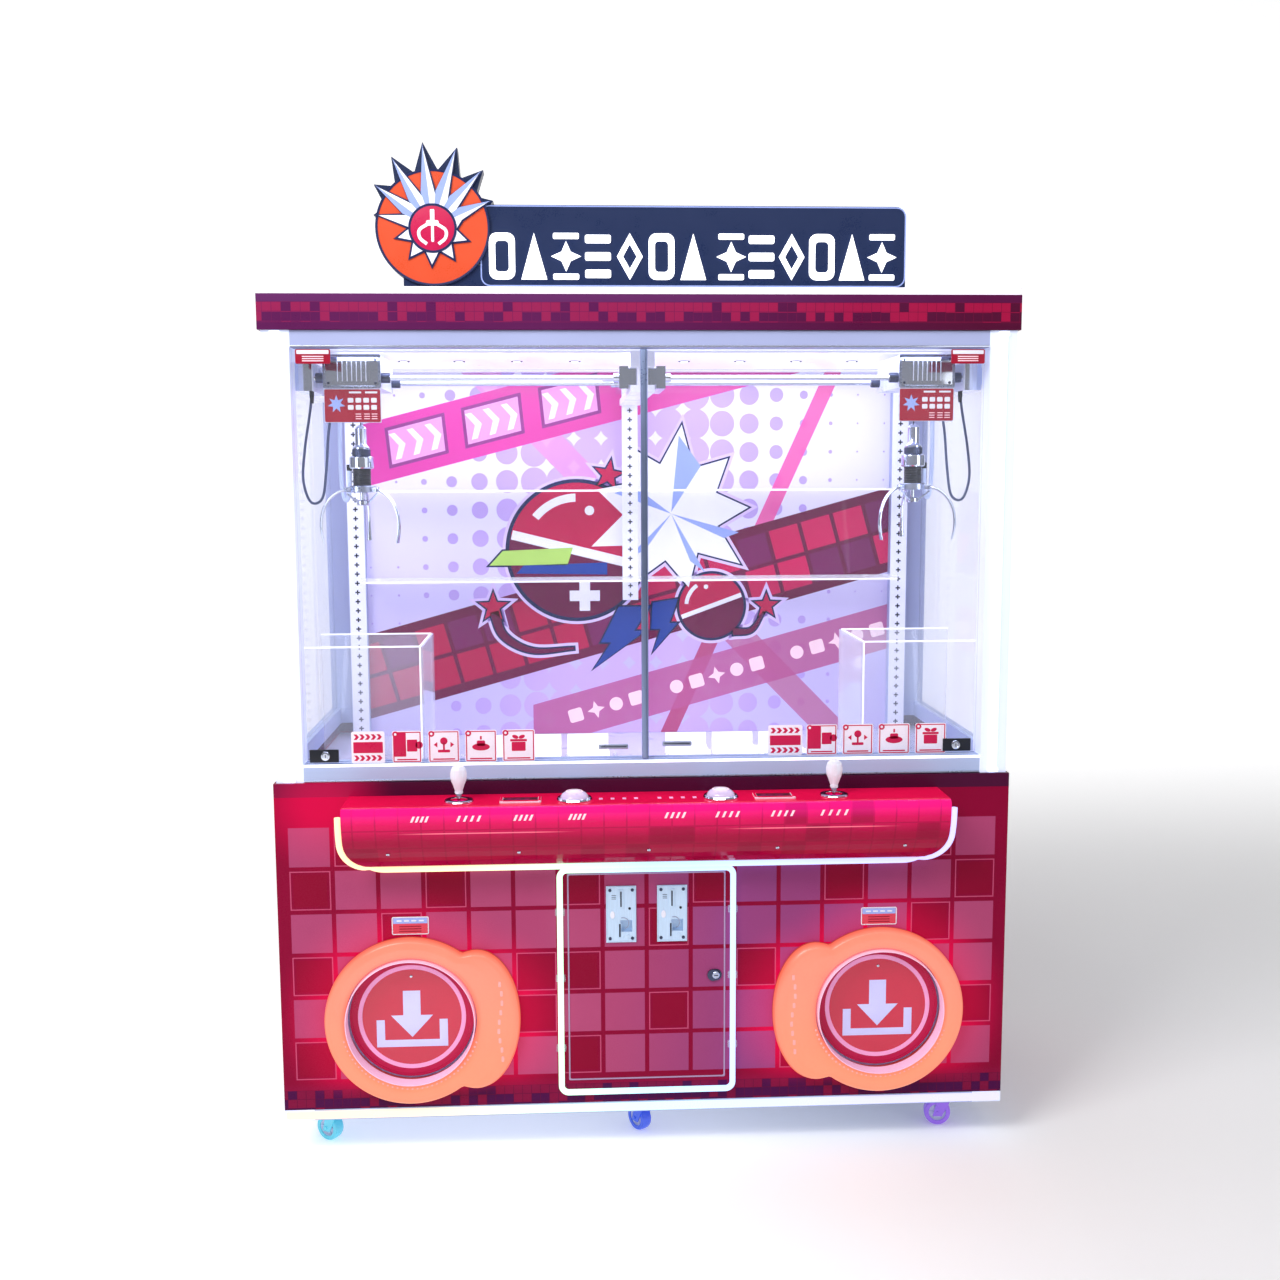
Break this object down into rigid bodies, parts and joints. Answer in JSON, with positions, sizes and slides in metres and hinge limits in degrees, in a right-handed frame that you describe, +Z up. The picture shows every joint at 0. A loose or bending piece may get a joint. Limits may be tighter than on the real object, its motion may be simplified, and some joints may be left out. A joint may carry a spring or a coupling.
{
  "type": "claw crane machine",
  "caption": "Wide two-player claw crane arcade machine with glass play case, curved control console, coin door, glowing prize outlets and a lit top sign.",
  "frame": {"origin": "on the floor under the middle of the machine's outer box", "axes": "+Z up, -Y towards the players, +X to the players' right"},
  "size_m": [1.6, 0.92, 2.1827],
  "materials": {
    "base_frame": "white board with a light strip along its edge",
    "cabinet_shell": "satin crimson laminate",
    "front_panel": "printed crimson panel with pink squares",
    "play_deck": "white laminate",
    "upper_frame": "pale blue-grey powder coat",
    "canopy": "printed crimson checker band with a white light rim",
    "topper_sign": "navy sign board with a lit white pattern",
    "gantry_frame": "white powder coat",
    "display_rack": "clear acrylic shelves on a white slotted upright",
    "back_board": "printed lilac artwork panel",
    "console_housing": "glossy crimson moulding",
    "neon_trim": "lit neon tube, warm to cool along its length",
    "cash_box": "galvanised sheet",
    "control_unit": "dark ribbed housing",
    "coin_door": "printed crimson sheet with pink squares",
    "door_lock": "polished cam lock",
    "front_left_caster_fork": "zinc plated",
    "front_left_caster_wheel": "pale polyurethane",
    "front_middle_caster_fork": "zinc plated",
    "front_middle_caster_wheel": "pale polyurethane",
    "front_right_caster_fork": "zinc plated",
    "front_right_caster_wheel": "pale polyurethane",
    "rear_left_caster_wheel": "pale polyurethane",
    "left_prize_chute": "brushed sheet",
    "left_chute_guard": "clear acrylic",
    "left_coin_unit": "brushed silver",
    "left_outlet_ring": "glowing peach diffuser",
    "left_prize_flap": "red acrylic with two pale rings",
    "left_joystick": "clear crystal knob on a steel shaft",
    "left_joystick_gimbal": "plain steel",
    "left_button": "clear white dome",
    "left_side_glass": "clear tempered glass",
    "left_glass_door": "clear tempered glass",
    "left_crane_bridge": "plated rods and cast end carriages",
    "left_trolley": "folded sheet with a red front plate",
    "left_claw_head": "turned and plated",
    "left_claw_finger_1": "plated steel",
    "left_claw_finger_2": "plated steel",
    "left_claw_finger_3": "plated steel",
    "left_trailing_cable": "dark flexible cable",
    "left_claw_cord": "pale coiled cord",
    "rear_right_caster_wheel": "pale polyurethane",
    "right_prize_chute": "brushed sheet",
    "right_chute_guard": "clear acrylic",
    "right_coin_unit": "brushed silver",
    "right_outlet_ring": "glowing peach diffuser",
    "right_prize_flap": "red acrylic with two pale rings",
    "right_joystick": "clear crystal knob on a steel shaft",
    "right_joystick_gimbal": "plain steel",
    "right_button": "clear white dome",
    "right_side_glass": "clear tempered glass",
    "right_glass_door": "clear tempered glass",
    "right_crane_bridge": "plated rods and cast end carriages",
    "right_trolley": "folded sheet with a red front plate",
    "right_claw_head": "turned and plated",
    "right_claw_finger_1": "plated steel",
    "right_claw_finger_2": "plated steel",
    "right_claw_finger_3": "plated steel",
    "right_trailing_cable": "dark flexible cable",
    "right_claw_cord": "pale coiled cord"
  },
  "bodies": {
    "cabinet": {"base_frame": "base_frame", "cabinet_shell": "cabinet_shell", "front_panel": "front_panel", "play_deck": "play_deck", "upper_frame": "upper_frame", "canopy": "canopy", "topper_sign": "topper_sign", "gantry_frame": "gantry_frame", "display_rack": "display_rack", "back_board": "back_board", "console_housing": "console_housing", "neon_trim": "neon_trim", "cash_box": "cash_box", "control_unit": "control_unit", "left_prize_chute": "left_prize_chute", "left_chute_guard": "left_chute_guard", "left_outlet_ring": "left_outlet_ring", "left_side_glass": "left_side_glass", "right_prize_chute": "right_prize_chute", "right_chute_guard": "right_chute_guard", "right_outlet_ring": "right_outlet_ring", "right_side_glass": "right_side_glass"},
    "coin_door": {"coin_door": "coin_door", "left_coin_unit": "left_coin_unit", "right_coin_unit": "right_coin_unit"},
    "door_lock": {"door_lock": "door_lock"},
    "front_left_fork": {"front_left_caster_fork": "front_left_caster_fork"},
    "front_left_wheel": {"front_left_caster_wheel": "front_left_caster_wheel"},
    "front_middle_fork": {"front_middle_caster_fork": "front_middle_caster_fork"},
    "front_middle_wheel": {"front_middle_caster_wheel": "front_middle_caster_wheel"},
    "front_right_fork": {"front_right_caster_fork": "front_right_caster_fork"},
    "front_right_wheel": {"front_right_caster_wheel": "front_right_caster_wheel"},
    "rear_left_wheel": {"rear_left_caster_wheel": "rear_left_caster_wheel"},
    "rear_right_wheel": {"rear_right_caster_wheel": "rear_right_caster_wheel"},
    "left_door": {"left_glass_door": "left_glass_door"},
    "left_bridge": {"left_crane_bridge": "left_crane_bridge"},
    "left_trolley": {"left_trolley": "left_trolley", "left_trailing_cable": "left_trailing_cable"},
    "left_claw": {"left_claw_head": "left_claw_head", "left_claw_cord": "left_claw_cord"},
    "left_finger_1": {"left_claw_finger_1": "left_claw_finger_1"},
    "left_finger_2": {"left_claw_finger_2": "left_claw_finger_2"},
    "left_finger_3": {"left_claw_finger_3": "left_claw_finger_3"},
    "left_flap": {"left_prize_flap": "left_prize_flap"},
    "left_gimbal": {"left_joystick_gimbal": "left_joystick_gimbal"},
    "left_stick": {"left_joystick": "left_joystick"},
    "left_button": {"left_button": "left_button"},
    "right_door": {"right_glass_door": "right_glass_door"},
    "right_bridge": {"right_crane_bridge": "right_crane_bridge"},
    "right_trolley": {"right_trolley": "right_trolley", "right_trailing_cable": "right_trailing_cable"},
    "right_claw": {"right_claw_head": "right_claw_head", "right_claw_cord": "right_claw_cord"},
    "right_finger_1": {"right_claw_finger_1": "right_claw_finger_1"},
    "right_finger_2": {"right_claw_finger_2": "right_claw_finger_2"},
    "right_finger_3": {"right_claw_finger_3": "right_claw_finger_3"},
    "right_flap": {"right_prize_flap": "right_prize_flap"},
    "right_gimbal": {"right_joystick_gimbal": "right_joystick_gimbal"},
    "right_stick": {"right_joystick": "right_joystick"},
    "right_button": {"right_button": "right_button"}
  },
  "joints": [
    {"name": "coin_door_hinge", "type": "hinge", "parent": "cabinet", "child": "coin_door", "pos_m": [-0.1732, -0.34, 0.4], "axis": [0, 0, -1], "range_deg": [0, 105]},
    {"name": "door_lock_turn", "type": "hinge", "parent": "coin_door", "child": "door_lock", "pos_m": [0.147, -0.34, 0.4], "axis": [0, 1, 0], "range_deg": [0, 90]},
    {"name": "front_left_swivel", "type": "hinge", "parent": "cabinet", "child": "front_left_fork", "pos_m": [-0.7, -0.26, 0.0846], "axis": [0, 0, 1], "continuous": true},
    {"name": "front_left_roll", "type": "hinge", "parent": "front_left_fork", "child": "front_left_wheel", "pos_m": [-0.71802, -0.24738, 0.03], "axis": [0.5736, 0.8192, 0], "continuous": true},
    {"name": "front_middle_swivel", "type": "hinge", "parent": "cabinet", "child": "front_middle_fork", "pos_m": [0, -0.26, 0.0846], "axis": [0, 0, 1], "continuous": true},
    {"name": "front_middle_roll", "type": "hinge", "parent": "front_middle_fork", "child": "front_middle_wheel", "pos_m": [-0.01262, -0.24198, 0.03], "axis": [0.8192, 0.5736, 0], "continuous": true},
    {"name": "front_right_swivel", "type": "hinge", "parent": "cabinet", "child": "front_right_fork", "pos_m": [0.7, -0.26, 0.0846], "axis": [0, 0, 1], "continuous": true},
    {"name": "front_right_roll", "type": "hinge", "parent": "front_right_fork", "child": "front_right_wheel", "pos_m": [0.67833, -0.25618, 0.03], "axis": [0.1736, 0.9848, 0], "continuous": true},
    {"name": "rear_left_roll", "type": "hinge", "parent": "cabinet", "child": "rear_left_wheel", "pos_m": [-0.7, 0.38, 0.03], "axis": [1, 0, 0], "continuous": true},
    {"name": "rear_right_roll", "type": "hinge", "parent": "cabinet", "child": "rear_right_wheel", "pos_m": [0.7, 0.38, 0.03], "axis": [1, 0, 0], "continuous": true},
    {"name": "left_door_slide", "type": "slide", "parent": "cabinet", "child": "left_door", "axis": [1, 0, 0], "range_m": [0, 0.7]},
    {"name": "left_bridge_travel", "type": "slide", "parent": "cabinet", "child": "left_bridge", "axis": [0, 1, 0], "range_m": [0, 0.27]},
    {"name": "left_trolley_travel", "type": "slide", "parent": "left_bridge", "child": "left_trolley", "axis": [1, 0, 0], "range_m": [0, 0.48], "deforming": ["left_trailing_cable"]},
    {"name": "left_claw_hoist", "type": "slide", "parent": "left_trolley", "child": "left_claw", "axis": [0, 0, 1], "range_m": [-0.45, 0], "deforming": ["left_claw_cord"]},
    {"name": "left_finger_1_close", "type": "hinge", "parent": "left_claw", "child": "left_finger_1", "pos_m": [-0.62, -0.113, 1.469], "axis": [-1, 0, 0], "range_deg": [-14, 36]},
    {"name": "left_finger_2_close", "type": "hinge", "parent": "left_claw", "child": "left_finger_2", "pos_m": [-0.65204, -0.1685, 1.469], "axis": [0.5, -0.866, 0], "range_deg": [-14, 36]},
    {"name": "left_finger_3_close", "type": "hinge", "parent": "left_claw", "child": "left_finger_3", "pos_m": [-0.58796, -0.1685, 1.469], "axis": [0.5, 0.866, 0], "range_deg": [-14, 36]},
    {"name": "left_flap_swing", "type": "hinge", "parent": "cabinet", "child": "left_flap", "pos_m": [-0.518, -0.325, 0.427], "axis": [1, 0, 0], "range_deg": [0, 75]},
    {"name": "left_stick_push_pull", "type": "hinge", "parent": "cabinet", "child": "left_gimbal", "pos_m": [-0.4, -0.4, 0.79], "axis": [1, 0, 0], "range_deg": [-15, 15], "stiffness_Nm_per_rad": 0.6},
    {"name": "left_stick_side_to_side", "type": "hinge", "parent": "left_gimbal", "child": "left_stick", "pos_m": [-0.4, -0.4, 0.79], "axis": [0, 1, 0], "range_deg": [-15, 15], "stiffness_Nm_per_rad": 0.6},
    {"name": "left_button_press", "type": "slide", "parent": "cabinet", "child": "left_button", "axis": [0, 0, 1], "range_m": [-0.004, 0], "stiffness_N_per_m": 900, "springref_m": 0.002},
    {"name": "right_door_slide", "type": "slide", "parent": "cabinet", "child": "right_door", "axis": [1, 0, 0], "range_m": [-0.7, 0]},
    {"name": "right_bridge_travel", "type": "slide", "parent": "cabinet", "child": "right_bridge", "axis": [0, 1, 0], "range_m": [0, 0.27]},
    {"name": "right_trolley_travel", "type": "slide", "parent": "right_bridge", "child": "right_trolley", "axis": [1, 0, 0], "range_m": [-0.48, 0], "deforming": ["right_trailing_cable"]},
    {"name": "right_claw_hoist", "type": "slide", "parent": "right_trolley", "child": "right_claw", "axis": [0, 0, 1], "range_m": [-0.45, 0], "deforming": ["right_claw_cord"]},
    {"name": "right_finger_1_close", "type": "hinge", "parent": "right_claw", "child": "right_finger_1", "pos_m": [0.62, -0.113, 1.469], "axis": [-1, 0, 0], "range_deg": [-14, 36]},
    {"name": "right_finger_2_close", "type": "hinge", "parent": "right_claw", "child": "right_finger_2", "pos_m": [0.58796, -0.1685, 1.469], "axis": [0.5, -0.866, 0], "range_deg": [-14, 36]},
    {"name": "right_finger_3_close", "type": "hinge", "parent": "right_claw", "child": "right_finger_3", "pos_m": [0.65204, -0.1685, 1.469], "axis": [0.5, 0.866, 0], "range_deg": [-14, 36]},
    {"name": "right_flap_swing", "type": "hinge", "parent": "cabinet", "child": "right_flap", "pos_m": [0.518, -0.325, 0.427], "axis": [1, 0, 0], "range_deg": [0, 75]},
    {"name": "right_stick_push_pull", "type": "hinge", "parent": "cabinet", "child": "right_gimbal", "pos_m": [0.4, -0.4, 0.79], "axis": [1, 0, 0], "range_deg": [-15, 15], "stiffness_Nm_per_rad": 0.6},
    {"name": "right_stick_side_to_side", "type": "hinge", "parent": "right_gimbal", "child": "right_stick", "pos_m": [0.4, -0.4, 0.79], "axis": [0, 1, 0], "range_deg": [-15, 15], "stiffness_Nm_per_rad": 0.6},
    {"name": "right_button_press", "type": "slide", "parent": "cabinet", "child": "right_button", "axis": [0, 0, 1], "range_m": [-0.004, 0], "stiffness_N_per_m": 900, "springref_m": 0.002}
  ],
  "couplings": [
    {"joint": "left_finger_2_close", "follows": "left_finger_1_close", "ratio": 1},
    {"joint": "left_finger_3_close", "follows": "left_finger_1_close", "ratio": 1},
    {"joint": "right_finger_2_close", "follows": "right_finger_1_close", "ratio": 1},
    {"joint": "right_finger_3_close", "follows": "right_finger_1_close", "ratio": 1}
  ]
}
